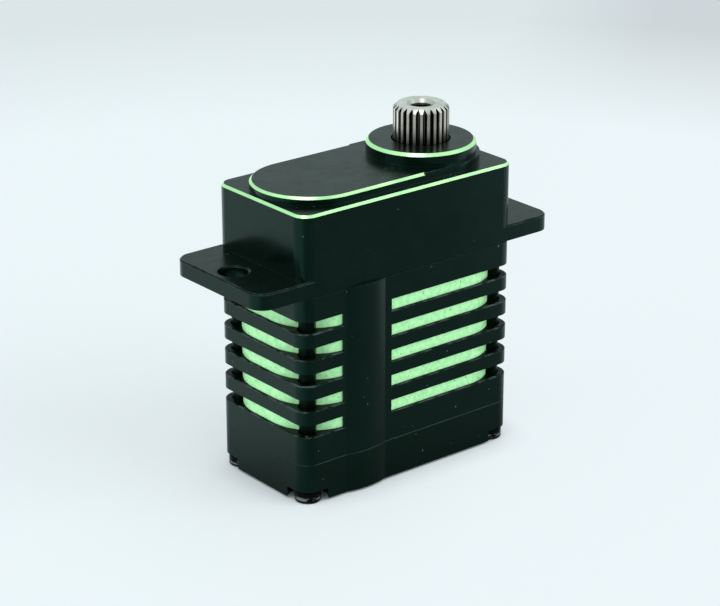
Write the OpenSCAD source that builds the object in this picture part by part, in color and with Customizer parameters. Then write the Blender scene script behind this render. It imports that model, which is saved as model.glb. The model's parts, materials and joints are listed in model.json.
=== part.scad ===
// Micro servo motor in a three-piece machined aluminium case.
// Frame: origin under the middle of the case, +X towards the output shaft, +Z up the shaft.
// The four case screw heads stand on Z = 0.

/* [Case] */
// Length of the case body, without the ears
case_l = 23.2; // [23:0.1:29]
// Width of the case body
case_w = 12; // [11.8:0.1:16]
// Radius of the four upright case corners
case_r = 1.3; // [1:0.05:1.5]
// Height of the bottom case
bottom_h = 3.55; // [3.3:0.05:5]
// Height of the finned middle case
middle_h = 15.1; // [15:0.1:20]
// Height of the top case, up to its shoulder
top_h = 7.1; // [6.9:0.1:9]
// Thickness of the outer case walls
wall = 0.7; // [0.55:0.05:0.75]
// Thickness of the plate under the gears
plate_t = 1.2; // [1:0.1:1.6]
// Bright chamfer round the shoulder and the platform
edge_chamfer = 0.2; // [0.1:0.05:0.4]
// Edge break along the seams and on the upper edges of the fins
edge_break = 0.07; // [0.03:0.01:0.12]

/* [Cooling fins] */
// Number of slots cut round the middle case
slot_count = 5; // [3:1:5]
// Height of one slot
slot_h = 1.05; // [0.6:0.05:1.25]
// Distance from one slot to the next
slot_pitch = 2.325; // [1.9:0.025:2.35]
// Solid band between the bottom seam and the first slot
slot_margin = 2.56; // [1.5:0.02:2.8]
// Depth of the slots in the flat sides
slot_depth = 0.2; // [0.1:0.05:0.35]
// Corner radius of the slot floors
slot_floor_r = 4.4; // [3:0.1:4.8]
// Width of the solid pillar in front of the motor
pillar_w = 5.2; // [4.5:0.05:8]
// Distance of the pillar's middle from the motor axis
pillar_shift = 0.22; // [0:0.01:0.5]
// How far the motor barrel bulges out of the side
bulge_proud = 0.32; // [0.1:0.02:0.5]
// Radius of the bulge
bulge_r = 7.05; // [6.5:0.05:8]

/* [Mounting ears] */
// Length of each ear beyond the case
ear_l = 4.5; // [4.2:0.05:6]
// Thickness of the ears
ear_t = 1.42; // [0.8:0.02:2]
// Corner radius of the ears
ear_r = 1.4; // [0.5:0.1:3]
// Distance from the case to the centre of the ear hole
ear_hole_out = 2.6; // [2:0.05:2.8]
// Diameter of the ear hole
ear_hole_d = 2.5; // [1.6:0.1:2.6]
// Chamfer on the ears' upper edges and holes
ear_chamfer = 0.13; // [0.05:0.01:0.25]

/* [Top deck] */
// Distance from the output end of the case to the shaft axis
output_end = 5.6; // [5.5:0.05:6]
// Diameter of the raised round boss
boss_d = 9.58; // [9.3:0.02:10]
// Height of the boss above the shoulder
boss_h = 1.85; // [1.4:0.05:3]
// Chamfer round the rim of the boss
boss_chamfer = 0.25; // [0.1:0.05:0.4]
// Radius of the long platform's round ends
platform_r = 5.1; // [5:0.05:5.3]
// Height of the platform above the shoulder
platform_h = 0.73; // [0.4:0.01:1.2]
// Gap between the motor end of the case and the platform
platform_inset = 0.35; // [0.2:0.05:2]
// Distance from the shaft axis at which the platform's chamfer runs out
chamfer_stop = 3.83; // [2:0.01:5]
// Width of the gap between the spline and the hole in the boss
boss_hole_gap = 0.17; // [0.1:0.01:0.3]

/* [Output shaft] */
// Number of teeth on the output spline
spline_teeth = 25; // [15:1:30]
// Outside diameter of the spline
spline_d = 4.86; // [4.4:0.02:4.96]
// Depth of the spline's grooves
spline_groove = 0.33; // [0.15:0.01:0.35]
// Chamfer on the upper ends of the teeth
spline_chamfer = 0.35; // [0.1:0.01:0.5]
// Height of the spline above the boss
spline_proud = 3.1; // [2:0.1:5]
// Diameter of the tapped hole for the horn screw
horn_hole_d = 1.65; // [1.3:0.05:2.2]
// Diameter of the countersink at its mouth
horn_sink_d = 2.46; // [2.3:0.02:2.8]
// Depth of the tapped hole
horn_hole_depth = 5; // [3:0.5:7]
// Diameter of the lower post that carries the idler gear
post_d = 1.5; // [1.2:0.05:1.6]

/* [Gear train] */
// Module of the output gear and its pinion
output_module = 0.3; // [0.29:0.005:0.31]
// Module of the motor pinion and the gear it drives
first_module = 0.2; // [0.195:0.005:0.21]
// Teeth on the motor pinion
motor_pinion_teeth = 10; // [9:1:12]
// Teeth on the first wheel
first_wheel_teeth = 40; // [38:1:41]
// Teeth on the first wheel's pinion
first_pinion_teeth = 14; // [13:1:16]
// Teeth on the second wheel
second_wheel_teeth = 46; // [44:1:46]
// Teeth on the second wheel's pinion
second_pinion_teeth = 12; // [12:1:14]
// Teeth on the third wheel
third_wheel_teeth = 38; // [36:1:38]
// Teeth on the third wheel's pinion
third_pinion_teeth = 11; // [10:1:12]
// Teeth on the output gear
output_gear_teeth = 29; // [28:1:30]
// Pressure angle of all the gears
pressure_angle = 25; // [20:1:25]
// Play between meshing teeth
backlash = 0.03; // [0.02:0.005:0.05]
// Diameter of the fixed axle
axle_d = 1.2; // [1:0.05:1.3]

/* [Bearings] */
// Wall of the boss round the upper shaft bearing
bearing_wall = 0.79; // [0.6:0.01:1]
// Step from the spline out to the shaft's upper journal
journal_step = 0.07; // [0.05:0.01:0.2]
// Height of the upper shaft bearing
upper_bearing_h = 2; // [1.8:0.1:2.5]
// Number of balls in the upper bearing
upper_balls = 13; // [7:1:16]
// Outside diameter of the lower shaft bearing
lower_bearing_d = 4; // [3.8:0.1:5]
// Height of the lower shaft bearing
lower_bearing_h = 2; // [1.6:0.1:2.5]
// Number of balls in the lower bearing
lower_balls = 8; // [6:1:9]

/* [Motor] */
// Diameter of the motor can
motor_d = 10.8; // [9:0.1:11]
// Length of the motor can
motor_l = 12.6; // [10:0.1:12.8]
// Wall of the motor can
can_wall = 0.5; // [0.3:0.05:0.8]
// Air gap between the coil and the can
coil_gap = 0.7; // [0.3:0.05:1]
// Thickness of the coil's wall
coil_t = 1; // [0.5:0.05:1.2]
// Diameter of the motor shaft
motor_shaft_d = 0.8; // [0.6:0.05:0.9]

/* [Screws] */
// Diameter of the long case screws
screw_d = 1.4; // [1.2:0.1:1.5]
// Diameter of their heads
screw_head_d = 2.3; // [1.9:0.02:2.4]
// Height of their heads
screw_head_h = 1.15; // [0.8:0.05:1.4]
// How far the heads stand out of the bottom case
head_proud = 0.2; // [0:0.05:0.4]
// Clearance round the heads in the bottom case
head_gap = 0.6; // [0.4:0.05:0.7]
// Distance of the screws from the case sides
screw_inset = 1.32; // [1.3:0.01:1.6]

/* [Hidden] */
$fn = 48;
eps = 0.01;
running_gap = 0.03;
seat_gap = 0.02;

// Heights of the seams, decks and plates
bottom_z = head_proud;
seam_low_z = bottom_z + bottom_h;
seam_high_z = seam_low_z + middle_h;
shoulder_z = seam_high_z + top_h;
platform_z = shoulder_z + platform_h;
boss_z = shoulder_z + boss_h;
shaft_z = boss_z + spline_proud;
plate_z = seam_high_z - plate_t;
ceiling_z = shoulder_z - 0.95;

// Upright axes, worked out from the output shaft through the gear centres
output_x = case_l / 2 - output_end;
axle_gap = output_module * (third_pinion_teeth + output_gear_teeth) / 2;
motor_gap = first_module * (motor_pinion_teeth + first_wheel_teeth) / 2;
axle_x = output_x - axle_gap;
motor_x = axle_x - motor_gap;
second_module = 2 * axle_gap / (first_pinion_teeth + second_wheel_teeth);
third_module = 2 * axle_gap / (second_pinion_teeth + third_wheel_teeth);

pillar_x = motor_x + pillar_shift;

// Screws and their seats
screw_x = case_l / 2 - screw_inset;
screw_y = case_w / 2 - screw_inset;
screw_bore_d = screw_d + 0.2;
head_pocket_r = screw_head_d / 2 + head_gap;
head_pocket_h = screw_head_h - head_proud;
head_neck_h = 0.22;
head_neck_d = screw_bore_d + 0.3;
head_round = 0.12;
screw_top_z = seam_high_z + 3.6;
screw_post_r = screw_bore_d / 2 + 0.45;

// Shaft bearings
upper_bearing_d = boss_d - 2 * bearing_wall;
upper_bearing_bore = spline_d + 2 * journal_step;
bearing_lip = 0.6;
upper_bearing_z = boss_z - bearing_lip - 0.5 - upper_bearing_h;
lower_bearing_z = seam_high_z - lower_bearing_h;
lower_lip_z = lower_bearing_z - 0.6;
lower_boss_r = lower_bearing_d / 2 + 0.9;
shaft_collar_r = upper_bearing_bore / 2 + 0.35;
o_ring_section_r = 0.24;
o_ring_r = upper_bearing_bore / 2 + running_gap + o_ring_section_r;

// Gear levels, from the plate up
wheel_t = 0.8;
first_wheel_z = seam_high_z + 0.3;
second_wheel_z = first_wheel_z + wheel_t + 0.15;
second_wheel_t = 0.95;
first_pinion_top = second_wheel_z + second_wheel_t + 0.15;
third_wheel_z = first_pinion_top + 0.15;
third_wheel_t = 0.85;
second_pinion_top = third_wheel_z + third_wheel_t + 0.1;
output_gear_z = second_pinion_top + 0.15;
output_gear_t = 1.8;
third_pinion_top = output_gear_z + output_gear_t + 0.1;
axle_top_z = ceiling_z + 0.45;
wheel_addendum = 0.85;
pinion_addendum = 1;
dedendum = 1.2;

// Motor
motor_top_z = plate_z;
motor_z = motor_top_z - motor_l;
motor_boss_r = 2;
motor_screw_out = motor_boss_r + 1.3;
coil_r = motor_d / 2 - can_wall - coil_gap;
magnet_r = coil_r - coil_t - 0.3;
commutator_r = 0.95;

// Control board and sensor
board_t = 0.8;
board_z = seam_low_z - 1.75;
board_top = board_z + board_t;
sensor_r = 4.1;
sensor_h = 3.2;
sensor_top = lower_lip_z;
sensor_z = sensor_top - sensor_h;
lead_out = 2.9;
lead_pitch = 1.9;

// Cable gland in the output end of the bottom case
gland_w = 4.4;
gland_z = board_z - 0.25;
gland_flange_w = gland_w + 1;
gland_flange_t = 0.5;

// ---------- building blocks ----------

// A block with upright round corners, centred on the origin, standing on z = 0
module rounded_block(l, w, h, r) {
    translate([-l / 2 + r, -w / 2, 0]) cube([l - 2 * r, w, h]);
    translate([-l / 2, -w / 2 + r, 0]) cube([l, w - 2 * r, h]);
    for (sx = [-1, 1], sy = [-1, 1])
        translate([sx * (l / 2 - r), sy * (w / 2 - r), 0]) cylinder(h = h, r = r);
}

// The chamfered top layer of such a block
module chamfered_layer(l, w, r, c) {
    rotate([90, 0, 90]) linear_extrude(height = l - 2 * r, center = true)
        polygon([[-w / 2, 0], [w / 2, 0], [w / 2 - c, c], [-w / 2 + c, c]]);
    rotate([90, 0, 0]) linear_extrude(height = w - 2 * r, center = true)
        polygon([[-l / 2, 0], [l / 2, 0], [l / 2 - c, c], [-l / 2 + c, c]]);
    for (sx = [-1, 1], sy = [-1, 1])
        translate([sx * (l / 2 - r), sy * (w / 2 - r), 0]) cylinder(h = c, r1 = r, r2 = r - c);
}

// Repeats its children at the four case screws
module at_screws() {
    for (sx = [-1, 1], sy = [-1, 1])
        translate([sx * screw_x, sy * screw_y, 0]) children();
}

// A flat ring standing on z = 0
module ring(outer_r, inner_r, h) {
    difference() {
        cylinder(h = h, r = outer_r);
        translate([0, 0, -eps]) cylinder(h = h + 2 * eps, r = inner_r);
    }
}

// The motor barrel's swelling on both long sides
module barrel_bulges(h, c) {
    for (side = [0, 1])
        mirror([0, side, 0]) intersection() {
            translate([motor_x, bulge_r - case_w / 2 - bulge_proud, 0]) {
                cylinder(h = h - c, r = bulge_r);
                translate([0, 0, h - c]) cylinder(h = c, r1 = bulge_r, r2 = bulge_r - c);
            }
            translate([motor_x - bulge_r, -case_w, 0]) cube([2 * bulge_r, case_w / 2 + 0.5, h]);
        }
}

// Outside of the middle and bottom cases, with its upper edge broken by c
module case_outline(h, c) {
    rounded_block(case_l, case_w, h - c, case_r);
    translate([0, 0, h - c]) chamfered_layer(case_l, case_w, case_r, c);
    barrel_bulges(h, c);
}

// ---------- gears ----------

function involute_angle(cos_ratio) = tan(acos(cos_ratio)) * 180 / PI - acos(cos_ratio);

// Half of the angle that a tooth covers at radius r
function tooth_half_angle(teeth, module_size, r) =
    let (pitch_r = teeth * module_size / 2, base_r = pitch_r * cos(pressure_angle))
    90 / teeth - backlash / pitch_r * 45 / PI + involute_angle(cos(pressure_angle))
        - involute_angle(min(1, base_r / r));

// Outline of one gear: a root, two flanks in steps and a tip for each tooth
function gear_outline(teeth, module_size, addendum, steps = 2) =
    let (
        pitch_r = teeth * module_size / 2,
        base_r = pitch_r * cos(pressure_angle),
        root_r = pitch_r - dedendum * module_size,
        tip_r = pitch_r + addendum * module_size,
        flank_r = max(base_r, root_r),
        radii = [for (i = [0:steps]) flank_r + (tip_r - flank_r) * i / steps]
    )
    [
        for (tooth = [0:teeth - 1]) each let (middle = tooth * 360 / teeth) concat(
            [polar(root_r, middle - tooth_half_angle(teeth, module_size, flank_r) * 1.04)],
            [for (r = radii) polar(r, middle - tooth_half_angle(teeth, module_size, r))],
            [for (i = [steps:-1:0])
                polar(radii[i], middle + tooth_half_angle(teeth, module_size, radii[i]))],
            [polar(root_r, middle + tooth_half_angle(teeth, module_size, flank_r) * 1.04)]
        )
    ];

function polar(r, angle) = [r * cos(angle), r * sin(angle)];

// Turn that brings a gear into mesh with its neighbour, seen in direction toward from that neighbour
function mesh_turn(driver_teeth, driver_turn, teeth, toward) =
    toward + 180 - (180 - (toward - driver_turn) * driver_teeth) / teeth;

// A toothed disc with a round bore
module toothed_disc(teeth, module_size, addendum, t, bore_r, turn = 0) {
    difference() {
        rotate([0, 0, turn]) linear_extrude(height = t)
            polygon(gear_outline(teeth, module_size, addendum));
        translate([0, 0, -eps]) cylinder(h = t + 2 * eps, r = bore_r);
    }
}

first_wheel_turn = mesh_turn(motor_pinion_teeth, 0, first_wheel_teeth, 0);
second_wheel_turn = mesh_turn(first_pinion_teeth, 0, second_wheel_teeth, 0);
third_wheel_turn = mesh_turn(second_pinion_teeth, 0, third_wheel_teeth, 180);
output_gear_turn = mesh_turn(third_pinion_teeth, 0, output_gear_teeth, 0);

function root_radius(teeth, module_size) = module_size * (teeth / 2 - dedendum);
first_hub_r = root_radius(first_pinion_teeth, second_module);
second_hub_r = root_radius(second_pinion_teeth, third_module);
third_hub_r = root_radius(third_pinion_teeth, output_module);

// ---------- bearings ----------

// Ball bearing: bore and outside radii, height, ball count; the balls sit in round grooves
function ball_r(bore_r, outer_r) = (outer_r - bore_r) * 0.28;
function ball_circle_r(bore_r, outer_r) = (outer_r + bore_r) / 2;

module race(inner_r, outer_r, h, circle_r, groove_r) {
    rotate_extrude() difference() {
        translate([inner_r, 0]) square([outer_r - inner_r, h]);
        translate([circle_r, h / 2]) circle(r = groove_r);
    }
}

module outer_race(bore_r, outer_r, h) {
    race(outer_r - (outer_r - bore_r) * 0.32, outer_r, h, ball_circle_r(bore_r, outer_r),
         ball_r(bore_r, outer_r) + seat_gap);
}

module inner_race(bore_r, outer_r, h) {
    race(bore_r, bore_r + (outer_r - bore_r) * 0.32, h, ball_circle_r(bore_r, outer_r),
         ball_r(bore_r, outer_r) + seat_gap);
}

module balls(bore_r, outer_r, h, count, extra = 0) {
    for (i = [0:count - 1])
        rotate([0, 0, i * 360 / count]) translate([ball_circle_r(bore_r, outer_r), 0, h / 2])
            sphere(r = ball_r(bore_r, outer_r) + extra);
}

module cage(bore_r, outer_r, h, count) {
    half_t = (outer_r - bore_r) * 0.1;
    middle_r = ball_circle_r(bore_r, outer_r);
    difference() {
        translate([0, 0, h * 0.15]) ring(middle_r + half_t, middle_r - half_t, h * 0.7);
        for (i = [0:count - 1])
            rotate([0, 0, i * 360 / count]) translate([0, 0, h / 2]) rotate([0, 90, 0])
                cylinder(h = outer_r, r = ball_r(bore_r, outer_r) + seat_gap);
    }
}

// ---------- case ----------

module ear_plate() {
    rounded_block(case_l + 2 * ear_l, case_w, ear_t - ear_chamfer, ear_r);
    translate([0, 0, ear_t - ear_chamfer])
        chamfered_layer(case_l + 2 * ear_l, case_w, ear_r, ear_chamfer);
}

module ear_holes() {
    for (side = [-1, 1])
        translate([side * (case_l / 2 + ear_hole_out), 0, seam_high_z]) {
            translate([0, 0, -eps]) cylinder(h = ear_t + 2 * eps, d = ear_hole_d);
            translate([0, 0, ear_t - ear_chamfer])
                cylinder(h = ear_chamfer + eps, d1 = ear_hole_d,
                         d2 = ear_hole_d + 2 * (ear_chamfer + eps));
        }
}

// Raised platform: round ends on the motor side and round the boss, chamfered up to the boss
module platform() {
    left_x = -case_l / 2 + platform_inset + platform_r;
    stop_x = output_x - chamfer_stop;
    body_h = platform_h - edge_chamfer;
    translate([0, 0, shoulder_z - eps]) {
        translate([left_x, 0, 0]) cylinder(h = body_h + eps, r = platform_r);
        translate([left_x, -platform_r, 0]) cube([stop_x - left_x, 2 * platform_r, body_h + eps]);
        translate([stop_x, -platform_r, 0]) cube([chamfer_stop, 2 * platform_r, platform_h + eps]);
        translate([output_x, 0, 0]) cylinder(h = platform_h + eps, r = platform_r);
    }
    translate([0, 0, shoulder_z + body_h]) {
        translate([left_x, 0, 0])
            cylinder(h = edge_chamfer, r1 = platform_r, r2 = platform_r - edge_chamfer);
        translate([left_x, 0, 0]) rotate([90, 0, 90]) linear_extrude(height = stop_x - left_x)
            polygon([
                [-platform_r, 0], [platform_r, 0],
                [platform_r - edge_chamfer, edge_chamfer], [-platform_r + edge_chamfer, edge_chamfer]
            ]);
    }
}

module boss() {
    translate([output_x, 0, shoulder_z - eps])
        cylinder(h = boss_h - boss_chamfer + eps, d = boss_d);
    translate([output_x, 0, boss_z - boss_chamfer])
        cylinder(h = boss_chamfer, d1 = boss_d, d2 = boss_d - 2 * boss_chamfer);
}

// Hollow for the gears: round over each shaft, with the screw posts left standing
module gear_bay() {
    motor_bay_r = motor_screw_out + 1.3;
    axle_bay_r = third_module * (third_wheel_teeth / 2 + wheel_addendum) + 0.2;
    output_bay_r = second_module * (second_wheel_teeth / 2 + wheel_addendum) + 0.2;
    h = ceiling_z - seam_high_z + eps;
    translate([0, 0, seam_high_z - eps]) difference() {
        union() {
            translate([motor_x, 0, 0]) cylinder(h = h, r = motor_bay_r);
            translate([axle_x, 0, 0]) cylinder(h = h, r = axle_bay_r);
            translate([output_x, 0, 0]) cylinder(h = h, r = output_bay_r);
            translate([motor_x, -motor_bay_r, 0]) cube([output_x - motor_x, 2 * motor_bay_r, h]);
        }
        at_screws() cylinder(h = h, r = screw_post_r);
    }
}

module top_case() color("#151a1b") {
    difference() {
        union() {
            translate([0, 0, seam_high_z])
                rounded_block(case_l, case_w, top_h - edge_chamfer, case_r);
            translate([0, 0, shoulder_z - edge_chamfer])
                chamfered_layer(case_l, case_w, case_r, edge_chamfer);
            translate([0, 0, seam_high_z]) ear_plate();
            platform();
            boss();
        }
        ear_holes();
        gear_bay();
        at_screws() translate([0, 0, seam_high_z - eps])
            cylinder(h = screw_top_z - seam_high_z + 0.5, d = screw_d);
        // pocket for the top of the fixed axle
        translate([axle_x, 0, ceiling_z - eps])
            cylinder(h = axle_top_z - ceiling_z + eps, d = axle_d);
        // seat of the upper bearing, groove of the O-ring, and the hole for the spline
        translate([output_x, 0, ceiling_z - eps])
            cylinder(h = upper_bearing_z + upper_bearing_h - ceiling_z + eps, d = upper_bearing_d);
        translate([output_x, 0, boss_z - bearing_lip - 0.5 - eps])
            cylinder(h = 0.5 + eps, r = o_ring_r + o_ring_section_r);
        translate([output_x, 0, boss_z - bearing_lip - eps])
            cylinder(h = bearing_lip + 2 * eps, r = spline_d / 2 + boss_hole_gap);
    }
}

// One slot round the middle case, as the ring that is cut away between two pillars; below it,
// the upper edge of the next fin is broken
module fin_slot() {
    difference() {
        translate([-case_l, -case_w, -edge_break])
            cube([2 * case_l, 2 * case_w, slot_h + edge_break]);
        translate([0, 0, -eps]) rounded_block(case_l - 2 * slot_depth, case_w - 2 * slot_depth,
                                              slot_h + 2 * eps, slot_floor_r);
        translate([0, 0, -edge_break]) chamfered_layer(case_l, case_w, case_r, edge_break);
        translate([pillar_x - pillar_w / 2, -case_w, -edge_break - eps])
            cube([pillar_w, 2 * case_w, slot_h + edge_break + 2 * eps]);
    }
}

// Room for the sensor and its leads beside the motor
module sensor_bay() {
    bay_r = 4.2;
    right_x = case_l / 2 - slot_depth - 0.8;
    left_x = motor_x + motor_d / 2 + 0.6;
    half_w = case_w / 2 - slot_depth - 0.9;
    h = plate_z - seam_low_z + eps;
    translate([0, 0, seam_low_z - eps]) difference() {
        intersection() {
            translate([left_x, -half_w, 0]) cube([right_x - left_x, 2 * half_w, h]);
            union() {
                translate([left_x, -half_w, 0]) cube([right_x - bay_r - left_x, 2 * half_w, h]);
                translate([left_x, -half_w + bay_r, 0])
                    cube([right_x - left_x, 2 * (half_w - bay_r), h]);
                for (side = [-1, 1])
                    translate([right_x - bay_r, side * (half_w - bay_r), 0])
                        cylinder(h = h, r = bay_r);
            }
        }
        // the boss under the plate that carries the lower bearing
        translate([output_x, 0, lower_lip_z - seam_low_z + eps]) cylinder(h = h, r = lower_boss_r);
    }
}

module middle_case() color("#151a1b") {
    difference() {
        translate([0, 0, seam_low_z]) case_outline(middle_h, edge_break);
        for (i = [0:slot_count - 1])
            translate([0, 0, seam_low_z + slot_margin + i * slot_pitch]) fin_slot();
        at_screws() translate([0, 0, seam_low_z - eps])
            cylinder(h = middle_h + 2 * eps, d = screw_bore_d);
        // motor barrel, and the hole for the motor's front boss
        translate([motor_x, 0, seam_low_z - eps])
            cylinder(h = plate_z - seam_low_z + eps, d = motor_d + 0.1);
        translate([motor_x, 0, plate_z - eps])
            cylinder(h = plate_t + 2 * eps, r = motor_boss_r + 0.05);
        for (side = [-1, 1])
            translate([motor_x, side * motor_screw_out, plate_z - eps])
                cylinder(h = plate_t + 2 * eps, d = 1.3);
        sensor_bay();
        // seats of the fixed axle and the lower bearing
        translate([axle_x, 0, plate_z + 0.3]) cylinder(h = plate_t, d = axle_d);
        translate([output_x, 0, lower_bearing_z])
            cylinder(h = lower_bearing_h + eps, d = lower_bearing_d);
        translate([output_x, 0, lower_lip_z - eps])
            cylinder(h = 0.6 + 2 * eps, r = post_d / 2 + 0.5);
    }
}

module bottom_case() color("#151a1b") {
    floor_t = 0.9;
    half_l = case_l / 2 - wall;
    half_w = case_w / 2 - wall;
    difference() {
        translate([0, 0, bottom_z]) case_outline(bottom_h, edge_break);
        // room for the board, which rests on a ledge, and for the parts below it
        translate([0, 0, board_z]) difference() {
            rounded_block(2 * half_l, 2 * half_w, seam_low_z - board_z + eps, case_r);
            at_screws() translate([0, 0, -eps]) cylinder(h = bottom_h, r = screw_post_r);
        }
        translate([0, 0, bottom_z + floor_t])
            rounded_block(2 * (screw_x - head_pocket_r - 0.5), 2 * (half_w - 0.5),
                          board_z - bottom_z - floor_t + eps, 1);
        at_screws() translate([0, 0, bottom_z - eps]) {
            cylinder(h = bottom_h + 2 * eps, d = screw_bore_d);
            cylinder(h = head_pocket_h + eps, r = head_pocket_r);
        }
        // slot for the cable gland, open at the seam
        translate([half_l - eps, -gland_w / 2, gland_z])
            cube([wall + 2 * eps, gland_w, seam_low_z - gland_z + eps]);
    }
}

module case_screws() color("#26292b") {
    at_screws() difference() {
        union() {
            cylinder(h = head_round, d1 = screw_head_d - 2 * head_round, d2 = screw_head_d);
            translate([0, 0, head_round])
                cylinder(h = screw_head_h - head_neck_h - head_round, d = screw_head_d);
            translate([0, 0, screw_head_h - head_neck_h - eps])
                cylinder(h = head_neck_h + eps, d = head_neck_d);
            translate([0, 0, screw_head_h - eps])
                cylinder(h = screw_top_z - screw_head_h + eps, d = screw_d);
        }
        translate([0, 0, -eps]) cylinder(h = 0.6 + eps, d = 1.1, $fn = 6);
    }
}

// ---------- output shaft ----------

module spline_outline() {
    tip_r = spline_d / 2 + 0.05;
    root_r = spline_d / 2 - spline_groove;
    pitch = 360 / spline_teeth;
    polygon([
        for (i = [0:spline_teeth - 1]) each [
            polar(root_r, (i - 0.44) * pitch), polar(tip_r, (i - 0.15) * pitch),
            polar(tip_r, (i + 0.15) * pitch), polar(root_r, (i + 0.44) * pitch)
        ]
    ]);
}

module output_shaft() color("#8c8f92") {
    shaft_foot = sensor_z + 0.75;
    spline_z = boss_z - bearing_lip + 0.1;
    journal_r = upper_bearing_bore / 2;
    sink_h = (horn_sink_d - horn_hole_d) / 2 * 1.1;
    difference() {
        union() {
            translate([output_x, 0, spline_z]) intersection() {
                linear_extrude(height = shaft_z - spline_z) spline_outline();
                rotate_extrude() polygon([
                    [0, 0], [spline_d / 2, 0], [spline_d / 2, shaft_z - spline_z - spline_chamfer],
                    [spline_d / 2 - spline_chamfer, shaft_z - spline_z], [0, shaft_z - spline_z]
                ]);
            }
            translate([output_x, 0, upper_bearing_z - eps])
                cylinder(h = spline_z - upper_bearing_z + 2 * eps, r = journal_r);
            translate([output_x, 0, output_gear_z + output_gear_t])
                cylinder(h = upper_bearing_z - output_gear_z - output_gear_t, r = shaft_collar_r);
            translate([output_x, 0, output_gear_z])
                cylinder(h = output_gear_t + eps, r = shaft_collar_r - 0.4);
            translate([output_x, 0, shaft_foot])
                cylinder(h = output_gear_z - shaft_foot + eps, d = post_d);
        }
        translate([output_x, 0, shaft_z - horn_hole_depth])
            cylinder(h = horn_hole_depth + eps, d = horn_hole_d);
        translate([output_x, 0, shaft_z - sink_h])
            cylinder(h = sink_h + eps, d1 = horn_hole_d, d2 = horn_sink_d + 2 * eps);
        // flat that turns the sensor's wiper
        translate([output_x + post_d / 2 - 0.25, -post_d, shaft_foot - eps])
            cube([post_d, 2 * post_d, sensor_h - 0.75 + eps]);
    }
}

module output_gear() color("#a9a7a0") {
    translate([output_x, 0, output_gear_z])
        toothed_disc(output_gear_teeth, output_module, wheel_addendum, output_gear_t,
                     shaft_collar_r - 0.4, output_gear_turn);
}

module shaft_o_ring() color("#2a2a2a") {
    translate([output_x, 0, boss_z - bearing_lip - 0.25]) rotate_extrude()
        translate([o_ring_r, 0]) circle(r = o_ring_section_r);
}

module upper_bearing_outer() color("#b9bcc0") translate([output_x, 0, upper_bearing_z])
    outer_race(upper_bearing_bore / 2, upper_bearing_d / 2, upper_bearing_h);

module upper_bearing_inner() color("#b9bcc0") translate([output_x, 0, upper_bearing_z])
    inner_race(upper_bearing_bore / 2, upper_bearing_d / 2, upper_bearing_h);

module upper_bearing_balls() color("#d5d8dc") translate([output_x, 0, upper_bearing_z])
    balls(upper_bearing_bore / 2, upper_bearing_d / 2, upper_bearing_h, upper_balls);

module upper_bearing_cage() color("#b08d57") translate([output_x, 0, upper_bearing_z])
    cage(upper_bearing_bore / 2, upper_bearing_d / 2, upper_bearing_h, upper_balls);

module lower_bearing_outer() color("#b9bcc0") translate([output_x, 0, lower_bearing_z])
    outer_race(post_d / 2, lower_bearing_d / 2, lower_bearing_h);

module lower_bearing_inner() color("#b9bcc0") translate([output_x, 0, lower_bearing_z])
    inner_race(post_d / 2, lower_bearing_d / 2, lower_bearing_h);

module lower_bearing_balls() color("#d5d8dc") translate([output_x, 0, lower_bearing_z])
    balls(post_d / 2, lower_bearing_d / 2, lower_bearing_h, lower_balls);

module lower_bearing_cage() color("#b08d57") translate([output_x, 0, lower_bearing_z])
    cage(post_d / 2, lower_bearing_d / 2, lower_bearing_h, lower_balls);

// ---------- gear train ----------

module gear_axle() color("#c4c7ca") {
    translate([axle_x, 0, plate_z + 0.3])
        cylinder(h = axle_top_z - plate_z - 0.3, d = axle_d);
}

// Thin washers that space the wheels on the fixed axle
module axle_washers() color("#c9b37e") translate([axle_x, 0, 0]) {
    bore_r = axle_d / 2 + seat_gap;
    translate([0, 0, seam_high_z]) ring(1.1, bore_r, first_wheel_z - seam_high_z - seat_gap);
    translate([0, 0, first_pinion_top + seat_gap])
        ring(1, bore_r, third_wheel_z - first_pinion_top - 2 * seat_gap);
    translate([0, 0, third_pinion_top + seat_gap])
        ring(1.1, bore_r, ceiling_z - third_pinion_top - seat_gap);
}

// Sleeve and washer that space the idler on the shaft's lower post
module post_spacers() color("#c9b37e") translate([output_x, 0, 0]) {
    inner_top_r = post_d / 2 + (lower_bearing_d - post_d) * 0.16;
    translate([0, 0, seam_high_z])
        ring(inner_top_r, post_d / 2, second_wheel_z - seam_high_z - seat_gap);
    translate([0, 0, second_pinion_top + seat_gap])
        ring(1, post_d / 2, output_gear_z - second_pinion_top - seat_gap);
}

// A wheel pressed on its pinion, which runs on a bore of bore_r
module first_wheel() color("#c8b06a") translate([axle_x, 0, first_wheel_z])
    toothed_disc(first_wheel_teeth, first_module, wheel_addendum, wheel_t, first_hub_r,
                 first_wheel_turn);

module first_pinion() color("#9a9da0") translate([axle_x, 0, first_wheel_z]) {
    bore_r = axle_d / 2 + running_gap;
    ring(first_hub_r, bore_r, wheel_t);
    translate([0, 0, wheel_t])
        toothed_disc(first_pinion_teeth, second_module, pinion_addendum,
                     first_pinion_top - first_wheel_z - wheel_t, bore_r);
}

module second_wheel() color("#c8b06a") translate([output_x, 0, second_wheel_z])
    toothed_disc(second_wheel_teeth, second_module, wheel_addendum, second_wheel_t,
                 second_hub_r, second_wheel_turn);

module second_pinion() color("#9a9da0") translate([output_x, 0, second_wheel_z]) {
    bore_r = post_d / 2 + running_gap;
    ring(second_hub_r, bore_r, second_wheel_t);
    translate([0, 0, second_wheel_t])
        toothed_disc(second_pinion_teeth, third_module, pinion_addendum,
                     second_pinion_top - second_wheel_z - second_wheel_t, bore_r);
}

module third_wheel() color("#c8b06a") translate([axle_x, 0, third_wheel_z])
    toothed_disc(third_wheel_teeth, third_module, wheel_addendum, third_wheel_t, third_hub_r,
                 third_wheel_turn);

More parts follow.
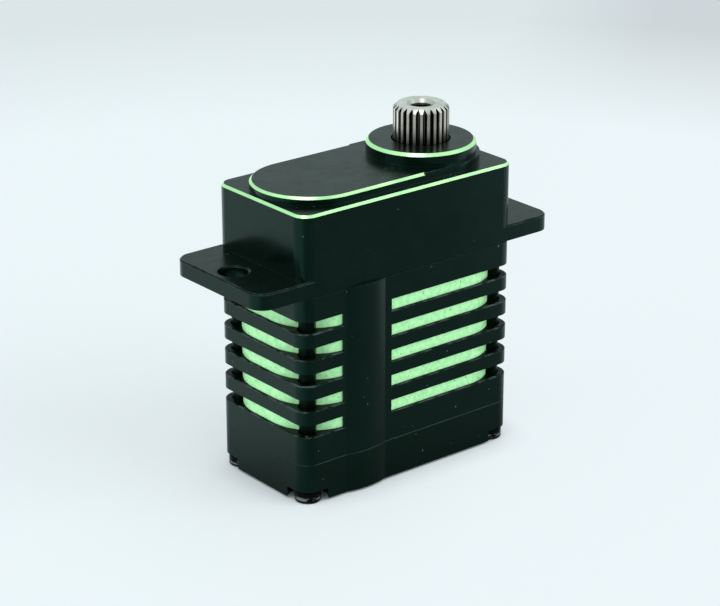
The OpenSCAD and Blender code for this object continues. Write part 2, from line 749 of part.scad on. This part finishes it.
module third_pinion() color("#9a9da0") translate([axle_x, 0, third_wheel_z]) {
    bore_r = axle_d / 2 + running_gap;
    ring(third_hub_r, bore_r, third_wheel_t);
    translate([0, 0, third_wheel_t])
        toothed_disc(third_pinion_teeth, output_module, pinion_addendum,
                     third_pinion_top - third_wheel_z - third_wheel_t, bore_r);
}

// ---------- motor ----------

module motor_can() color("#b4b7ba") translate([motor_x, 0, 0]) {
    difference() {
        translate([0, 0, motor_z + 0.8]) cylinder(h = motor_l - 0.8, d = motor_d);
        translate([0, 0, motor_z + 0.8 - eps])
            cylinder(h = motor_l - 1.4 + eps, d = motor_d - 2 * can_wall);
        translate([0, 0, motor_top_z - 1]) cylinder(h = 1 + eps, r = 1.6);
        for (side = [-1, 1])
            translate([0, side * motor_screw_out, motor_top_z - 1])
                cylinder(h = 1 + eps, d = 1);
    }
}

module motor_front_bush() color("#b08d57") translate([motor_x, 0, 0]) {
    bore_r = motor_shaft_d / 2 + running_gap;
    translate([0, 0, motor_top_z - 0.6]) ring(1.6, bore_r, 0.6);
    translate([0, 0, motor_top_z]) ring(motor_boss_r, bore_r, 0.8);
}

module motor_end_cap() color("#2d2d30") translate([motor_x, 0, motor_z]) {
    ring(motor_d / 2, motor_shaft_d / 2 + running_gap, 0.8);
    translate([0, 0, 0.8]) ring(motor_d / 2 - can_wall, motor_shaft_d / 2 + running_gap, 0.5);
}

// Core of the motor: the coil is a thin cup that spins round it
module motor_magnet() color("#606468") translate([motor_x, 0, motor_z + 2.6])
    ring(magnet_r, 0.8, motor_l - 3.2);

module motor_coil() color("#b5622d") translate([motor_x, 0, motor_z + 2]) {
    translate([0, 0, 0.3 - eps]) ring(coil_r, coil_r - coil_t, motor_l - 3.2);
    ring(coil_r, motor_shaft_d / 2, 0.3);
}

module motor_commutator() color("#c98a4b") translate([motor_x, 0, motor_z + 1.35]) difference() {
    ring(commutator_r, motor_shaft_d / 2, 0.65);
    for (i = [0:4])
        rotate([0, 0, i * 72]) translate([0.7, -0.05, -eps]) cube([1, 0.1, 0.65 + 2 * eps]);
}

module motor_brushes() color("#c9b37e") translate([motor_x, 0, motor_z + 1.3]) {
    for (side = [-1, 1])
        translate([-1.8, side * (commutator_r + 0.11) - 0.08, 0]) cube([3.6, 0.16, 0.55]);
}

module motor_shaft() color("#c4c7ca") translate([motor_x, 0, 0]) {
    pinion_top = first_wheel_z + wheel_t + 0.1;
    translate([0, 0, motor_z + 0.3]) cylinder(h = pinion_top - motor_z - 0.3, d = motor_shaft_d);
}

module motor_pinion() color("#b08d57") translate([motor_x, 0, seam_high_z + 0.1])
    toothed_disc(motor_pinion_teeth, first_module, pinion_addendum, wheel_t + 0.3,
                 motor_shaft_d / 2);

module motor_terminals() color("#c9b37e") {
    for (side = [-1, 1])
        translate([motor_x + side * 2.2 - 0.15, -0.6, board_top])
            cube([0.3, 1.2, motor_z - board_top]);
}

module motor_screws() color("#26292b") {
    for (side = [-1, 1])
        translate([motor_x, side * motor_screw_out, 0]) difference() {
            union() {
                translate([0, 0, motor_top_z - 0.6]) cylinder(h = plate_t + 0.6 + eps, d = 1);
                translate([0, 0, seam_high_z]) cylinder(h = 0.6, d = 2);
            }
            translate([-0.6, -0.12, seam_high_z + 0.35]) cube([1.2, 0.24, 1]);
            translate([-0.12, -0.6, seam_high_z + 0.35]) cube([0.24, 1.2, 1]);
        }
}

// ---------- position sensor ----------

module sensor_body() color("#3a3f45") translate([output_x, 0, sensor_z]) {
    difference() {
        cylinder(h = sensor_h, r = sensor_r);
        translate([0, 0, 0.5]) cylinder(h = sensor_h - 1, r = sensor_r - 0.5);
        translate([0, 0, 1]) cylinder(h = sensor_h, r = post_d / 2 + 0.3);
    }
}

module sensor_track() color("#6b4a2b") translate([output_x, 0, sensor_z + 0.5])
    ring(sensor_r - 0.6, 1.6, 0.25);

module sensor_wiper() color("#c9b37e") translate([output_x, 0, sensor_z + 0.85]) {
    difference() {
        union() {
            cylinder(h = sensor_h - 1.5, r = post_d / 2 + 0.5);
            intersection() {
                cylinder(h = 0.3, r = sensor_r - 0.6);
                translate([0, -0.6, 0]) cube([sensor_r, 1.2, 0.3]);
            }
        }
        translate([0, 0, -eps]) difference() {
            cylinder(h = sensor_h, d = post_d);
            translate([post_d / 2 - 0.25, -post_d, -eps]) cube([post_d, 2 * post_d, sensor_h]);
        }
    }
}

module sensor_leads() color("#b03a2e") {
    for (i = [-1:1])
        translate([output_x + lead_out, i * lead_pitch, board_top])
            cylinder(h = sensor_z - board_top, d = 0.6);
}

// ---------- electronics ----------

module control_board() color("#1f5a3a") {
    gap = 0.1;
    translate([0, 0, board_z]) difference() {
        rounded_block(case_l - 2 * wall - 2 * gap, case_w - 2 * wall - 2 * gap, board_t,
                      case_r - gap);
        at_screws() translate([0, 0, -eps])
            cylinder(h = board_t + 2 * eps, r = screw_post_r + gap);
        // notch for the wires that come through the gland
        translate([case_l / 2 - wall - gland_flange_t - 0.3, -gland_flange_w / 2 - gap, -eps])
            cube([1, gland_flange_w + 2 * gap, board_t + 2 * eps]);
    }
}

module control_chips() color("#1a1a1c") {
    translate([axle_x - 0.4, -1.5, board_top]) cube([3, 3, 0.75]);
    translate([motor_x + 3.6, -4.3, board_top]) cube([1.6, 2.4, 0.7]);
}

module power_transistors() color("#232326") {
    for (i = [0:3])
        translate([motor_x - 2.6 + i * 2.1, 2, board_top]) cube([1.6, 2.2, 0.7]);
}

module board_capacitors() color("#8a6f4d") {
    for (i = [0:3])
        translate([output_x - 3.4 + i * 1.3, -4.4, board_top]) cube([0.8, 1.4, 0.6]);
}

// Grommet in the seam, with a flat opening for a three-wire cord
module cable_gland() color("#1c1c1c") {
    inner_x = case_l / 2 - wall;
    cable_w = 3.4;
    cable_t = 1.1;
    difference() {
        union() {
            translate([inner_x - gland_flange_t, -gland_flange_w / 2, board_z])
                cube([gland_flange_t, gland_flange_w, seam_low_z - board_z]);
            translate([inner_x - eps, -gland_w / 2, gland_z])
                cube([wall + 0.7, gland_w, seam_low_z - gland_z]);
        }
        translate([inner_x - 1, 0, (gland_z + seam_low_z) / 2]) rotate([0, 90, 0]) {
            for (side = [-1, 1])
                translate([0, side * (cable_w - cable_t) / 2, 0]) cylinder(h = 4, d = cable_t);
            translate([-cable_t / 2, -(cable_w - cable_t) / 2, 0])
                cube([cable_t, cable_w - cable_t, 4]);
        }
    }
}

top_case();
middle_case();
bottom_case();
case_screws();
output_shaft();
output_gear();
shaft_o_ring();
upper_bearing_outer();
upper_bearing_inner();
upper_bearing_balls();
upper_bearing_cage();
lower_bearing_outer();
lower_bearing_inner();
lower_bearing_balls();
lower_bearing_cage();
gear_axle();
axle_washers();
post_spacers();
first_wheel();
first_pinion();
second_wheel();
second_pinion();
third_wheel();
third_pinion();
motor_can();
motor_front_bush();
motor_end_cap();
motor_magnet();
motor_coil();
motor_commutator();
motor_brushes();
motor_shaft();
motor_pinion();
motor_terminals();
motor_screws();
sensor_body();
sensor_track();
sensor_wiper();
sensor_leads();
control_board();
control_chips();
power_transistors();
board_capacitors();
cable_gland();
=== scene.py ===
import json
import math

import bpy
from mathutils import Matrix, Vector

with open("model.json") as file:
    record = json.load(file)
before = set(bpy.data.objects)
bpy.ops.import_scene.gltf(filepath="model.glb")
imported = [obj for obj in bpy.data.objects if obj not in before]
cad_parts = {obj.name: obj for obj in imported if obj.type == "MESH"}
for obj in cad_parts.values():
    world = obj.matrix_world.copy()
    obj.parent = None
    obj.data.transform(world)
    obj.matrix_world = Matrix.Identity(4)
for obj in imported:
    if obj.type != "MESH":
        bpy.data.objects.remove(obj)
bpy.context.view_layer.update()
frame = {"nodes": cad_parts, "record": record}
nodes = frame["nodes"]
MM = 0.001


# ---------------------------------------------------------------- materials

class Mat:
    """A node material around one Principled shader, with short calls for its texture nodes.

    Noise scales are in cells per metre. Lengths that end in _mm are in millimetres.
    """

    def __init__(self, name, **inputs):
        self.mat = bpy.data.materials.new(name)
        self.mat.use_nodes = True
        self.tree = self.mat.node_tree
        self.bsdf = self.tree.nodes["Principled BSDF"]
        for key, value in inputs.items():
            self.bsdf.inputs[key.replace("_", " ")].default_value = value
        self.coords = self.node("ShaderNodeTexCoord").outputs["Object"]

    def node(self, kind, **settings):
        made = self.tree.nodes.new(kind)
        for key, value in settings.items():
            setattr(made, key, value)
        return made

    def link(self, out, into):
        self.tree.links.new(out, into)

    def noise(self, scale, detail, stretch=(1, 1, 1)):
        mapping = self.node("ShaderNodeMapping")
        mapping.inputs["Scale"].default_value = stretch
        self.link(self.coords, mapping.inputs["Vector"])
        tex = self.node("ShaderNodeTexNoise")
        tex.inputs["Scale"].default_value = scale
        tex.inputs["Detail"].default_value = detail
        self.link(mapping.outputs["Vector"], tex.inputs["Vector"])
        return tex.outputs["Fac"]

    def ramp(self, fac, stops):
        node = self.node("ShaderNodeValToRGB")
        points = node.color_ramp.elements
        while len(points) < len(stops):
            points.new(0.5)
        for point, (at, colour) in zip(points, stops):
            point.position = at
            point.color = (*colour, 1)
        self.link(fac, node.inputs["Fac"])
        return node.outputs["Color"]

    def level(self, fac, start, end, low=0.0, high=1.0):
        """low where fac is at start, high where it is at end, and held beyond both."""
        node = self.node("ShaderNodeMapRange")
        node.inputs["From Min"].default_value = start
        node.inputs["From Max"].default_value = end
        node.inputs["To Min"].default_value = low
        node.inputs["To Max"].default_value = high
        self.link(fac, node.inputs["Value"])
        return node.outputs["Result"]

    def combine(self, operation, a, b):
        node = self.node("ShaderNodeMath", operation=operation)
        self.link(a, node.inputs[0])
        self.link(b, node.inputs[1])
        return node.outputs["Value"]

    def times(self, a, b):
        return self.combine("MULTIPLY", a, b)

    def plus(self, a, b):
        return self.combine("ADD", a, b)

    def over(self, fac, below, above):
        """The colour below, covered by the plain colour above where fac is 1."""
        node = self.node("ShaderNodeMix", data_type="RGBA")
        node.inputs["B"].default_value = (*above, 1)
        self.link(fac, node.inputs["Factor"])
        self.link(below, node.inputs["A"])
        return node.outputs["Result"]

    def z_of(self, vector):
        node = self.node("ShaderNodeSeparateXYZ")
        self.link(vector, node.inputs[0])
        return node.outputs["Z"]

    def height(self):
        return self.z_of(self.coords)

    def rounded(self, radius_mm):
        node = self.node("ShaderNodeBevel", samples=4)
        node.inputs["Radius"].default_value = radius_mm * MM
        return node.outputs["Normal"]

    def along(self, vector, direction):
        node = self.node("ShaderNodeVectorMath", operation="DOT_PRODUCT")
        node.inputs[1].default_value = direction
        self.link(vector, node.inputs[0])
        return node.outputs["Value"]

    def edge(self, radius_mm):
        """0 on a flat face, rising to 1 over an outer edge."""
        dot = self.node("ShaderNodeVectorMath", operation="DOT_PRODUCT")
        self.link(self.rounded(radius_mm), dot.inputs[0])
        self.link(self.node("ShaderNodeNewGeometry").outputs["True Normal"], dot.inputs[1])
        return self.level(dot.outputs["Value"], 0.99, 0.80)

    def open_sky(self, reach_mm, closed, free=1.0, samples=4):
        """0 where only a closed share of the sky is clear within reach, 1 where a free share is."""
        node = self.node("ShaderNodeAmbientOcclusion", samples=samples)
        node.inputs["Distance"].default_value = reach_mm * MM
        return self.level(node.outputs["AO"], closed, free)

    def paint(self, colour):
        self.link(colour, self.bsdf.inputs["Base Color"])

    def grained(self, fac, dark, light):
        return self.ramp(fac, [(0.3, dark), (0.7, light)])

    def rough(self, fac, least, most):
        self.link(self.level(fac, 0.3, 0.7, least, most), self.bsdf.inputs["Roughness"])

    def bump(self, fac, depth_mm, rounded_mm=0.0):
        node = self.node("ShaderNodeBump")
        node.inputs["Distance"].default_value = depth_mm * MM
        self.link(fac, node.inputs["Height"])
        if rounded_mm:
            self.link(self.rounded(rounded_mm), node.inputs["Normal"])
        self.link(node.outputs["Normal"], self.bsdf.inputs["Normal"])


BLACK_DARK, BLACK_LIGHT = (0.0004, 0.0018, 0.0009), (0.0009, 0.0036, 0.0020)
BLACK_SHEEN = (0.33, 1.0, 0.81, 1)
BLACK_SPECK = (0.07, 0.10, 0.09)
# Reach of the pale edges (rubbed wear and painted highlight together), of the crevice test and of the fade
# over height.
WEAR_AND_HIGHLIGHT_MM, CREVICE_MM, FADE_MM = 0.12, 0.4, 0.5


def black_anodise(name, rough, specular, ior, edge_wear_and_highlight, above=0.0, below=99.0):
    """Bead-blasted black aluminium, paler in patches on its upper edges, partly rubbed wear and partly a
    painted highlight.

    The edge wear and highlight argument is how pale such an edge gets. Edges pale only between the heights
    above and below, in mm, and only where they face upwards.
    """
    made = Mat(name, IOR=ior, Specular_IOR_Level=specular, Specular_Tint=BLACK_SHEEN)
    body = made.grained(made.noise(scale=350.0, detail=5), BLACK_DARK, BLACK_LIGHT)
    specks = made.level(made.noise(scale=2600.0, detail=1), 0.79, 0.81)
    body = made.over(specks, body, BLACK_SPECK)
    # Pale upper edges: partly rubbed wear, partly a painted highlight where light from above catches them.
    wear_and_highlight = made.edge(WEAR_AND_HIGHLIGHT_MM)
    for limit in (
            made.open_sky(CREVICE_MM, closed=0.75, free=0.95),
            made.level(made.noise(scale=1100.0, detail=3), 0.40, 0.58),
            made.level(made.height(), above * MM, (above + FADE_MM) * MM),
            made.level(made.height(), (below + FADE_MM) * MM, below * MM),
            made.level(made.z_of(made.rounded(WEAR_AND_HIGHLIGHT_MM)), 0.02, 0.25)):
        wear_and_highlight = made.times(wear_and_highlight, limit)
    made.paint(made.over(wear_and_highlight, body, (edge_wear_and_highlight * 0.84, edge_wear_and_highlight, edge_wear_and_highlight * 0.93)))
    made.rough(made.noise(scale=800.0, detail=3), *rough)
    made.bump(made.noise(scale=6000.0, detail=2), depth_mm=0.001, rounded_mm=0.035)
    return made.mat


def green_anodise(name, dark, light, rough, metallic, scale, pits=None):
    """Green aluminium, mottled at a scale, with small dark pits where their colour is given."""
    made = Mat(name, Metallic=metallic)
    grain = made.noise(scale, detail=4)
    body = made.ramp(grain, [(0.35, dark), (0.65, light)])
    if pits:
        body = made.over(made.level(made.noise(scale=3600.0, detail=1), 0.72, 0.75), body, pits)
    made.paint(body)
    made.rough(grain, *rough)
    made.bump(made.noise(scale=3000.0, detail=2), depth_mm=0.001)
    return made.mat


def metal(name, dark, light, rough, scale=1500.0, stretch=(1, 1, 1), edge=None):
    made = Mat(name, Metallic=1.0)
    grain = made.noise(scale, 4, stretch)
    body = made.grained(grain, dark, light)
    if edge:
        body = made.over(made.edge(0.05), body, edge)
    made.paint(body)
    made.rough(grain, *rough)
    made.bump(grain, depth_mm=0.002, rounded_mm=0.03)
    return made.mat


def screw_head(name, stops):
    """Blackened steel in a tone for each height in mm, broken by dark streaks: the pale band is a painted
    highlight and the dark above it painted shade.
    """
    made = Mat(name, Metallic=1.0)
    rise = made.level(made.height(), 0, 1 * MM)
    # Pale band from 0.32 to 0.5 mm up: painted highlight; dark above 0.62 mm: painted shade from the pocket.
    highlight_band_and_shade = made.ramp(rise, [(height, (tone, tone, tone)) for height, tone in stops])
    streaks = made.noise(scale=1800.0, detail=4, stretch=(1, 1, 3))
    made.paint(made.over(made.level(streaks, 0.55, 0.45), highlight_band_and_shade, (0.012, 0.015, 0.015)))
    made.rough(streaks, 0.25, 0.40)
    made.bump(streaks, depth_mm=0.003, rounded_mm=0.03)
    return made.mat


def moulded(name, dark, light, rough):
    made = Mat(name)
    made.paint(made.grained(made.noise(scale=700.0, detail=4), dark, light))
    made.rough(made.noise(scale=900.0, detail=2), *rough)
    made.bump(made.noise(scale=2500.0, detail=3), depth_mm=0.004, rounded_mm=0.05)
    return made.mat


def splined_steel(name, axis_x, foot_z, stops):
    """Steel in a tone for each radius in mm about an upright axis, with painted shade in its bore and
    grooves, and darker down at its foot as painted shade.
    """
    made = Mat(name, Metallic=1.0)
    flat = made.node("ShaderNodeVectorMath", operation="MULTIPLY")
    flat.inputs[1].default_value = (1, 1, 0)
    made.link(made.coords, flat.inputs[0])
    out = made.node("ShaderNodeVectorMath", operation="DISTANCE")
    out.inputs[1].default_value = (axis_x * MM, 0, 0)
    made.link(flat.outputs["Vector"], out.inputs[0])
    widest, shade_height = 3, 1.3
    reach = made.level(out.outputs["Value"], 0, widest * MM)
    # Under 0.94 mm (the bore) and from 2.14 to 2.34 mm (the grooves) the tones are painted shade.
    tones_and_shade = made.ramp(reach, [(radius / widest, (tone, tone * 0.95, tone * 0.84)) for radius, tone in stops])
    # Painted shade: the shaft darkens over its lowest 1.3 mm, where it stands in the boss.
    foot = made.level(made.height(), (foot_z + shade_height) * MM, foot_z * MM, high=0.8)
    made.paint(made.over(foot, tones_and_shade, (0.03, 0.03, 0.022)))
    grain = made.noise(scale=1500.0, detail=4, stretch=(1, 1, 0.2))
    made.rough(grain, 0.24, 0.36)
    made.bump(grain, depth_mm=0.002)
    return made.mat


BLACK = black_anodise("black_anodise", (0.18, 0.24), specular=0.36, ior=1.5, edge_wear_and_highlight=0.05)
BLACK_TOP = black_anodise("black_anodise_top", (0.24, 0.32), specular=0.54, ior=1.2, edge_wear_and_highlight=0.16)
BLACK_FIN = black_anodise("black_anodise_fin", (0.18, 0.24), specular=0.38, ior=1.5, edge_wear_and_highlight=0.30,
                          above=5.0, below=17.0)
BLACK_SLOT = black_anodise("black_anodise_slot", (0.34, 0.44), specular=0.43, ior=1.17, edge_wear_and_highlight=0.30,
                           below=17.0)
GREEN_CUT = green_anodise("green_cut", (0.49, 0.89, 0.45), (0.61, 0.93, 0.46), (0.24, 0.34),
                          metallic=1.0, scale=500.0)
GREEN_FLOOR = green_anodise("green_floor", (0.37, 0.83, 0.38), (0.51, 0.98, 0.49), (0.40, 0.55),
                            metallic=0.15, scale=2400.0, pits=(0.10, 0.28, 0.12))
STEEL = metal("steel", (0.50, 0.45, 0.42), (0.72, 0.66, 0.62), (0.26, 0.38), edge=(0.86, 0.82, 0.77))
COPPER = metal("copper", (0.55, 0.20, 0.08), (0.70, 0.30, 0.13), (0.25, 0.35), scale=3000.0,
               stretch=(1, 1, 12))
# Height in mm and tone: a painted highlight band with painted shade above it.
SCREW_HEAD_HIGHLIGHT_AND_SHADE = [(0.0, 0.02), (0.25, 0.02), (0.32, 0.5), (0.5, 0.4), (0.62, 0.01)]
SCREW_HEAD = screw_head("screw_head", SCREW_HEAD_HIGHLIGHT_AND_SHADE)
# Radius in mm and tone; the dark bore and grooves are painted shade.
SPLINE_TONES_AND_SHADE = [(0.94, 0.02), (1.0, 0.5), (2.0, 0.4), (2.14, 0.012), (2.34, 0.06), (2.42, 0.80)]
SPLINE_X, SPLINE_FOOT = 6.0, 28.0
SPLINE = splined_steel("splined_steel", SPLINE_X, SPLINE_FOOT, SPLINE_TONES_AND_SHADE)

# The rest by material slot: darker tone, lighter tone, least and most roughness.
METALS = {
    "black_screw": ((0.003, 0.010, 0.006), (0.008, 0.018, 0.013), (0.30, 0.42)),
    "gear_brass": ((0.60, 0.42, 0.17), (0.72, 0.53, 0.24), (0.22, 0.34)),
    "gear_steel": ((0.34, 0.33, 0.32), (0.46, 0.45, 0.43), (0.28, 0.38)),
    "bearing_steel": ((0.62, 0.62, 0.63), (0.72, 0.72, 0.73), (0.10, 0.18)),
    "bronze": ((0.46, 0.29, 0.12), (0.58, 0.38, 0.17), (0.28, 0.38)),
    "motor_steel": ((0.50, 0.50, 0.51), (0.60, 0.60, 0.61), (0.22, 0.32)),
    "magnet": ((0.20, 0.21, 0.22), (0.28, 0.29, 0.30), (0.25, 0.35)),
    "spring_brass": ((0.58, 0.47, 0.27), (0.70, 0.58, 0.36), (0.25, 0.35)),
}
MOULDED = {
    "rubber": ((0.015, 0.015, 0.016), (0.028, 0.028, 0.029), (0.55, 0.70)),
    "dark_plastic": ((0.03, 0.031, 0.034), (0.045, 0.046, 0.05), (0.42, 0.55)),
    "resistive_track": ((0.05, 0.03, 0.02), (0.08, 0.05, 0.03), (0.35, 0.45)),
    "circuit_board": ((0.012, 0.10, 0.045), (0.02, 0.15, 0.07), (0.30, 0.40)),
    "chip_black": ((0.012, 0.012, 0.013), (0.022, 0.022, 0.023), (0.40, 0.55)),
    "capacitor": ((0.28, 0.18, 0.09), (0.36, 0.24, 0.13), (0.35, 0.45)),
}
BY_SLOT = {"black_anodise": BLACK, "steel": STEEL, "copper": COPPER}
BY_SLOT.update({name: metal(name, *look) for name, look in METALS.items()})
BY_SLOT.update({name: moulded(name, *look) for name, look in MOULDED.items()})


# ---------------------------------------------------------------- finish of each face

def dress(name, materials, rule=None):
    """Gives a CAD node its materials, picked for each face by rule(centre in mm, normal)."""
    data = nodes[name].data
    data.materials.clear()
    for material in materials:
        data.materials.append(material)
    for face in data.polygons:
        face.material_index = rule(face.center / MM, face.normal) if rule else 0


for part in frame["record"]["subparts"]:
    dress(part["node"], [BY_SLOT[part["material_slot"]]])

# In mm. A face counts as a top where the z of its normal is over TOP_Z.
TOP_Z, CHAMFER_Z = 0.6, math.sqrt(0.5)
CHAMFERS_FROM = 20.47
SLOT_LOW, SLOT_PITCH, SLOT_HEIGHT, SLOTS = 6.31, 2.325, 1.05, 5
FLOOR_X, FLOOR_Y = 11.45, 5.83
HOLLOW_X, HOLLOW_Y = 10, 4
HEAD_TOP = 1.2
MOUTH_R = 1.7


def top_rule(at, normal):
    """0 plain, 1 for the cut chamfers above the ears, 2 for the tops."""
    if abs(abs(normal.z) - CHAMFER_Z) < 0.02 and at.z > CHAMFERS_FROM:
        return 1
    return 2 if normal.z > TOP_Z else 0


def middle_rule(at, normal):
    """0 plain, 1 for the upright floors of the slots, 2 for the tops of the fins."""
    in_slot = any(0 < at.z - SLOT_LOW - SLOT_PITCH * i < SLOT_HEIGHT for i in range(SLOTS))
    behind_fins = abs(at.x) < FLOOR_X and abs(at.y) < FLOOR_Y
    round_hollow = abs(at.y) > HOLLOW_Y or abs(at.x) > HOLLOW_X
    if abs(normal.z) < 0.5 and in_slot and behind_fins and round_hollow:
        return 1
    return 2 if normal.z > TOP_Z else 0


def shaft_rule(at, normal):
    """1 for the shaft's upright sides and for the mouth of its bore, 0 for the rest."""
    in_mouth = math.hypot(at.x - SPLINE_X, at.y) < MOUTH_R and normal.z < 0.9
    return 1 if abs(normal.z) < 0.3 or in_mouth else 0


dress("top_case", [BLACK, GREEN_CUT, BLACK_TOP], top_rule)
dress("middle_case", [BLACK_FIN, GREEN_FLOOR, BLACK_SLOT], middle_rule)
dress("output_shaft", [STEEL, SPLINE], shaft_rule)
dress("case_screws", [BY_SLOT["black_screw"], SCREW_HEAD], lambda at, normal: 1 if at.z < HEAD_TOP else 0)


# ---------------------------------------------------------------- floor, light and camera

BACKGROUND, MIRRORED = (0.845, 0.915, 0.945), (0.80, 0.99, 0.96)
WORLD_STRENGTH = 0.95
FLOOR_SIZE = 40
FLOOR_DARK, FLOOR_LIGHT = (0.68, 0.725, 0.73), (0.69, 0.735, 0.74)
LEFT, RIGHT = (-0.63, 0.77, 0), (0.77, 0.63, 0)
# Levels over the floor: start and end of the change in metres, and the value at each.
GLOW_SHARE = (-0.012, 0.008, 0.88, 0.45)
GLOW_FADE = (0.10, 0.15, 1.0, 0.70)
CARD_LEFT = (-0.004, 0.022, 0.24, 0.79)
CARD_RIGHT = (0.004, 0.016, 0.0, 0.45)
GLOSSY_SHARE = 0.90
CONTACT_MM, CARD_GAP_MM = 3, 12
FLOOR_SAMPLES = 8

bpy.ops.mesh.primitive_plane_add(size=FLOOR_SIZE, location=(0, 0, 0))
floor = bpy.context.object
floor.name = "floor"
pale = Mat("floor", Roughness=1.0, Specular_IOR_Level=0.0)
pale.paint(pale.grained(pale.noise(scale=3.0, detail=2), FLOOR_DARK, FLOOR_LIGHT))


def glow_over(shader, share, strength):
    """The shader, with share of it replaced by the background's glow at a strength."""
    glow = pale.node("ShaderNodeEmission")
    glow.inputs["Color"].default_value = (*BACKGROUND, 1)
    pale.link(strength, glow.inputs["Strength"])
    blend = pale.node("ShaderNodeMixShader")
    pale.link(share, blend.inputs["Fac"])
    pale.link(shader, blend.inputs[1])
    pale.link(glow.outputs["Emission"], blend.inputs[2])
    return blend.outputs["Shader"]


rays = pale.node("ShaderNodeLightPath").outputs
to_left = pale.along(pale.coords, LEFT)
to_right = pale.along(pale.coords, RIGHT)
away = pale.node("ShaderNodeVectorMath", operation="LENGTH")
pale.link(pale.coords, away.inputs[0])

# The camera sees the floor near the background's tone, less so close round the object's foot.
contact = pale.open_sky(CONTACT_MM, closed=0.3, samples=FLOOR_SAMPLES)
camera_share = pale.times(contact, pale.level(to_left, *GLOW_SHARE))
camera_share = pale.times(rays["Is Camera Ray"], camera_share)
seen = glow_over(pale.bsdf.outputs["BSDF"], camera_share, pale.level(away.outputs["Value"], *GLOW_FADE))

# Gloss sees the floor as a pale card, painted lighter towards the left and past a line to the right as
# painted light, and dark up against the object as a painted shadow.
glossy_share = pale.level(rays["Is Glossy Ray"], 0, 1, high=GLOSSY_SHARE)
card = pale.plus(pale.level(to_left, *CARD_LEFT), pale.level(to_right, *CARD_RIGHT))
card = pale.times(card, pale.open_sky(CARD_GAP_MM, closed=0.0, samples=FLOOR_SAMPLES))
pale.link(glow_over(seen, glossy_share, card), pale.tree.nodes["Material Output"].inputs["Surface"])
floor.data.materials.append(pale.mat)

world = bpy.data.worlds.new("studio")
bpy.context.scene.world = world
world.use_nodes = True
tree = world.node_tree
lit_by = tree.nodes["Background"]
mirrored = tree.nodes.new("ShaderNodeBackground")
for shader, colour in ((lit_by, BACKGROUND), (mirrored, MIRRORED)):
    shader.inputs["Color"].default_value = (*colour, 1)
    shader.inputs["Strength"].default_value = WORLD_STRENGTH
either = tree.nodes.new("ShaderNodeMixShader")
tree.links.new(tree.nodes.new("ShaderNodeLightPath").outputs["Is Glossy Ray"], either.inputs["Fac"])
tree.links.new(lit_by.outputs["Background"], either.inputs[1])
tree.links.new(mirrored.outputs["Background"], either.inputs[2])
tree.links.new(either.outputs["Shader"], tree.nodes["World Output"].inputs["Surface"])

# Soft boxes, aimed at the middle of the case: place, size and watts.
AIM = (0, 0, 0.015)
LAMPS = {
    "key": ((0.78, -1.11, 0.68), (1.20, 1.00), 10.5),
    "side": ((-1.20, 0.15, 0.60), (1.05, 1.05), 7.2),
    "overhead": ((-0.495, -0.30, 1.44), (0.66, 0.66), 3.0),
}
for name, (place, size, watts) in LAMPS.items():
    data = bpy.data.lights.new(name, "AREA")
    data.shape = "RECTANGLE"
    data.size, data.size_y = size
    data.energy = watts
    lamp = bpy.data.objects.new(name, data)
    lamp.location = place
    lamp.rotation_euler = (Vector(AIM) - Vector(place)).to_track_quat("-Z", "Y").to_euler()
    bpy.context.scene.collection.objects.link(lamp)

CAMERA_AT = (-0.123019, -0.150095, 0.090510)
AZIMUTH, ELEVATION = math.radians(-39.163), math.radians(21.537)
LENS_MM, SENSOR_MM, NEAREST = 120.025, 36.0, 0.001
right = Vector((math.cos(AZIMUTH), math.sin(AZIMUTH), 0))
back = Vector((math.sin(AZIMUTH) * math.cos(ELEVATION),
               -math.cos(AZIMUTH) * math.cos(ELEVATION), math.sin(ELEVATION)))
up = back.cross(right)
camera_data = bpy.data.cameras.new("camera")
camera_data.sensor_width = SENSOR_MM
camera_data.lens = LENS_MM
camera_data.clip_start = NEAREST
camera = bpy.data.objects.new("camera", camera_data)
camera.matrix_world = (Matrix.Translation(CAMERA_AT)
                       @ Matrix((right, up, back)).transposed().to_4x4())
bpy.context.scene.collection.objects.link(camera)
bpy.context.scene.camera = camera
bpy.context.scene.view_settings.view_transform = "Standard"
